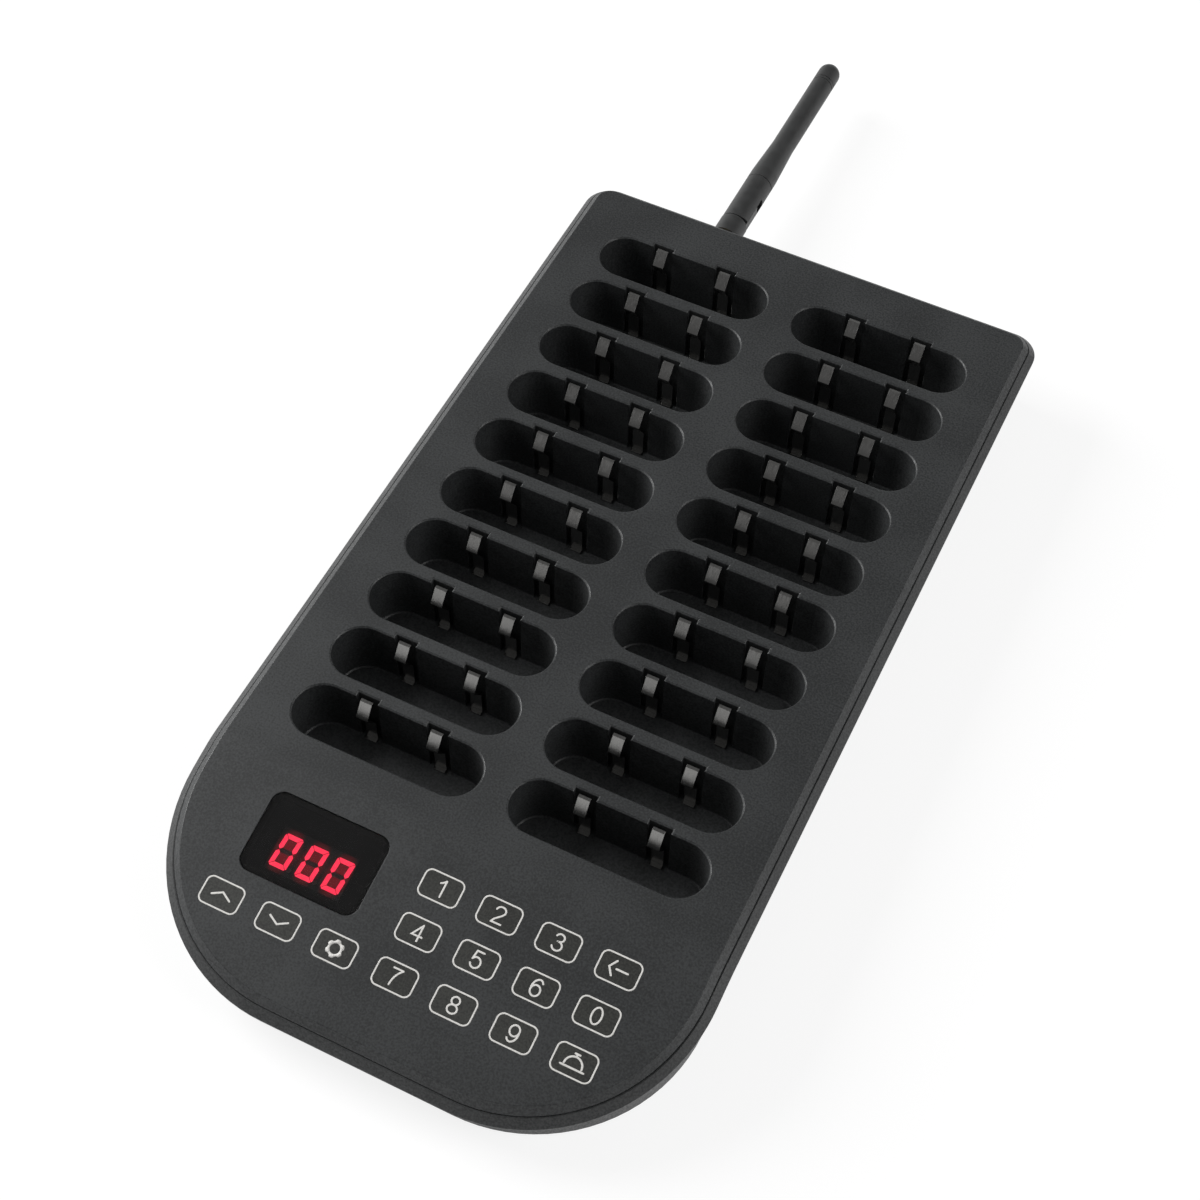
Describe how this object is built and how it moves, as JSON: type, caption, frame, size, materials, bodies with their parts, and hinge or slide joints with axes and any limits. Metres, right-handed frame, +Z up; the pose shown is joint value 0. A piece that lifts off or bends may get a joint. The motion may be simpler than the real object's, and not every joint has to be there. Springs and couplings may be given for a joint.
{
  "type": "guest pager system",
  "caption": "Counter-top dock that charges coaster pagers in rows of slots and calls them from a sloped touch panel, with a red digit display and a folding antenna.",
  "frame": {"origin": "centre of the case's footprint on the table plane, under the feet", "axes": "+X to the user's right, +Y to the rear along the antenna, +Z up"},
  "size_m": [0.15, 0.3836, 0.0275],
  "materials": {
    "cover_plastic": "fine spark-textured black ABS",
    "tray_plastic": "fine spark-textured black ABS",
    "foot_rubber": "matt black rubber",
    "zinc_steel": "zinc plated steel",
    "window_acrylic": "smoked gloss acrylic",
    "adhesive_tape": "black foam tape",
    "module_plastic": "black moulded epoxy case",
    "digit_resin": "red diffused resin, lit",
    "circuit_board": "green solder mask on glass epoxy",
    "spring_steel": "bright spring wire",
    "chip_resin": "moulded black epoxy",
    "connector_plastic": "black glass-filled plastic",
    "cable_jacket": "grey vinyl jacket",
    "capacitor_can": "drawn aluminium can",
    "ferrite": "matt ferrite",
    "slider_plastic": "black nylon",
    "plated_brass": "gold flashed brass",
    "antenna_plastic": "satin black elastomer",
    "copper_wire": "enamelled copper coil",
    "contact_nickel": "bright nickel plated spring bronze"
  },
  "bodies": {
    "root": {"top_cover": "cover_plastic", "base_tray": "tray_plastic", "rubber_feet": "foot_rubber", "cover_screws": "zinc_steel", "board_screws": "zinc_steel", "key_board_screws": "zinc_steel", "display_window": "window_acrylic", "window_tape": "adhesive_tape", "display_module": "module_plastic", "digit_segments": "digit_resin", "key_board": "circuit_board", "main_board": "circuit_board", "touch_springs": "spring_steel", "key_controller": "chip_resin", "microcontroller": "chip_resin", "regulator": "chip_resin", "charge_chips": "chip_resin", "key_header": "connector_plastic", "main_header": "connector_plastic", "ribbon_cable": "cable_jacket", "filter_capacitors": "capacitor_can", "power_coil": "ferrite", "buzzer": "connector_plastic", "radio_module": "circuit_board", "antenna_lead": "cable_jacket", "dc_inlet": "connector_plastic", "power_switch": "connector_plastic", "antenna_jack": "plated_brass", "antenna_washer": "zinc_steel", "antenna_jack_nut": "plated_brass", "antenna_plug": "plated_brass"},
    "coupling": {"antenna_coupling": "plated_brass"},
    "collar": {"antenna_collar": "antenna_plastic"},
    "whip": {"antenna_whip": "antenna_plastic", "antenna_pin": "zinc_steel", "antenna_radiator": "copper_wire", "antenna_tip_cap": "antenna_plastic"},
    "switch_slider": {"switch_slider": "slider_plastic"},
    "contacts_left_01": {"contacts_left_01": "contact_nickel"},
    "contacts_left_02": {"contacts_left_02": "contact_nickel"},
    "contacts_left_03": {"contacts_left_03": "contact_nickel"},
    "contacts_left_04": {"contacts_left_04": "contact_nickel"},
    "contacts_left_05": {"contacts_left_05": "contact_nickel"},
    "contacts_left_06": {"contacts_left_06": "contact_nickel"},
    "contacts_left_07": {"contacts_left_07": "contact_nickel"},
    "contacts_left_08": {"contacts_left_08": "contact_nickel"},
    "contacts_left_09": {"contacts_left_09": "contact_nickel"},
    "contacts_left_10": {"contacts_left_10": "contact_nickel"},
    "contacts_right_01": {"contacts_right_01": "contact_nickel"},
    "contacts_right_02": {"contacts_right_02": "contact_nickel"},
    "contacts_right_03": {"contacts_right_03": "contact_nickel"},
    "contacts_right_04": {"contacts_right_04": "contact_nickel"},
    "contacts_right_05": {"contacts_right_05": "contact_nickel"},
    "contacts_right_06": {"contacts_right_06": "contact_nickel"},
    "contacts_right_07": {"contacts_right_07": "contact_nickel"},
    "contacts_right_08": {"contacts_right_08": "contact_nickel"},
    "contacts_right_09": {"contacts_right_09": "contact_nickel"},
    "contacts_right_10": {"contacts_right_10": "contact_nickel"}
  },
  "joints": [
    {"name": "antenna_turn", "type": "hinge", "parent": "root", "child": "collar", "pos_m": [-0.0321, 0.15, 0.0142], "axis": [0, 1, 0], "continuous": true},
    {"name": "antenna_fold", "type": "hinge", "parent": "collar", "child": "whip", "pos_m": [-0.0321, 0.1645, 0.0142], "axis": [0, 0, -1], "range_deg": [0, 90]},
    {"name": "coupling_turn", "type": "hinge", "parent": "root", "child": "coupling", "pos_m": [-0.0321, 0.1439, 0.0142], "axis": [0, 1, 0], "continuous": true},
    {"name": "switch_slide", "type": "slide", "parent": "root", "child": "switch_slider", "axis": [1, 0, 0], "range_m": [0, 0.0024]},
    {"name": "press_left_01", "type": "hinge", "parent": "root", "child": "contacts_left_01", "pos_m": [-0.0321, 0.1241, 0.008], "axis": [-1, 0, 0], "range_deg": [0, 2.8], "stiffness_Nm_per_rad": 0.15},
    {"name": "press_left_02", "type": "hinge", "parent": "root", "child": "contacts_left_02", "pos_m": [-0.0321, 0.1037, 0.008], "axis": [-1, 0, 0], "range_deg": [0, 2.8], "stiffness_Nm_per_rad": 0.15},
    {"name": "press_left_03", "type": "hinge", "parent": "root", "child": "contacts_left_03", "pos_m": [-0.0321, 0.0833, 0.008], "axis": [-1, 0, 0], "range_deg": [0, 2.8], "stiffness_Nm_per_rad": 0.15},
    {"name": "press_left_04", "type": "hinge", "parent": "root", "child": "contacts_left_04", "pos_m": [-0.0321, 0.0629, 0.008], "axis": [-1, 0, 0], "range_deg": [0, 2.8], "stiffness_Nm_per_rad": 0.15},
    {"name": "press_left_05", "type": "hinge", "parent": "root", "child": "contacts_left_05", "pos_m": [-0.0321, 0.0425, 0.008], "axis": [-1, 0, 0], "range_deg": [0, 2.8], "stiffness_Nm_per_rad": 0.15},
    {"name": "press_left_06", "type": "hinge", "parent": "root", "child": "contacts_left_06", "pos_m": [-0.0321, 0.0221, 0.008], "axis": [-1, 0, 0], "range_deg": [0, 2.8], "stiffness_Nm_per_rad": 0.15},
    {"name": "press_left_07", "type": "hinge", "parent": "root", "child": "contacts_left_07", "pos_m": [-0.0321, 0.0017, 0.008], "axis": [-1, 0, 0], "range_deg": [0, 2.8], "stiffness_Nm_per_rad": 0.15},
    {"name": "press_left_08", "type": "hinge", "parent": "root", "child": "contacts_left_08", "pos_m": [-0.0321, -0.0187, 0.008], "axis": [-1, 0, 0], "range_deg": [0, 2.8], "stiffness_Nm_per_rad": 0.15},
    {"name": "press_left_09", "type": "hinge", "parent": "root", "child": "contacts_left_09", "pos_m": [-0.0321, -0.0391, 0.008], "axis": [-1, 0, 0], "range_deg": [0, 2.8], "stiffness_Nm_per_rad": 0.15},
    {"name": "press_left_10", "type": "hinge", "parent": "root", "child": "contacts_left_10", "pos_m": [-0.0321, -0.0595, 0.008], "axis": [-1, 0, 0], "range_deg": [0, 2.8], "stiffness_Nm_per_rad": 0.15},
    {"name": "press_right_01", "type": "hinge", "parent": "root", "child": "contacts_right_01", "pos_m": [0.0321, 0.1241, 0.008], "axis": [-1, 0, 0], "range_deg": [0, 2.8], "stiffness_Nm_per_rad": 0.15},
    {"name": "press_right_02", "type": "hinge", "parent": "root", "child": "contacts_right_02", "pos_m": [0.0321, 0.1037, 0.008], "axis": [-1, 0, 0], "range_deg": [0, 2.8], "stiffness_Nm_per_rad": 0.15},
    {"name": "press_right_03", "type": "hinge", "parent": "root", "child": "contacts_right_03", "pos_m": [0.0321, 0.0833, 0.008], "axis": [-1, 0, 0], "range_deg": [0, 2.8], "stiffness_Nm_per_rad": 0.15},
    {"name": "press_right_04", "type": "hinge", "parent": "root", "child": "contacts_right_04", "pos_m": [0.0321, 0.0629, 0.008], "axis": [-1, 0, 0], "range_deg": [0, 2.8], "stiffness_Nm_per_rad": 0.15},
    {"name": "press_right_05", "type": "hinge", "parent": "root", "child": "contacts_right_05", "pos_m": [0.0321, 0.0425, 0.008], "axis": [-1, 0, 0], "range_deg": [0, 2.8], "stiffness_Nm_per_rad": 0.15},
    {"name": "press_right_06", "type": "hinge", "parent": "root", "child": "contacts_right_06", "pos_m": [0.0321, 0.0221, 0.008], "axis": [-1, 0, 0], "range_deg": [0, 2.8], "stiffness_Nm_per_rad": 0.15},
    {"name": "press_right_07", "type": "hinge", "parent": "root", "child": "contacts_right_07", "pos_m": [0.0321, 0.0017, 0.008], "axis": [-1, 0, 0], "range_deg": [0, 2.8], "stiffness_Nm_per_rad": 0.15},
    {"name": "press_right_08", "type": "hinge", "parent": "root", "child": "contacts_right_08", "pos_m": [0.0321, -0.0187, 0.008], "axis": [-1, 0, 0], "range_deg": [0, 2.8], "stiffness_Nm_per_rad": 0.15},
    {"name": "press_right_09", "type": "hinge", "parent": "root", "child": "contacts_right_09", "pos_m": [0.0321, -0.0391, 0.008], "axis": [-1, 0, 0], "range_deg": [0, 2.8], "stiffness_Nm_per_rad": 0.15},
    {"name": "press_right_10", "type": "hinge", "parent": "root", "child": "contacts_right_10", "pos_m": [0.0321, -0.0595, 0.008], "axis": [-1, 0, 0], "range_deg": [0, 2.8], "stiffness_Nm_per_rad": 0.15}
  ]
}
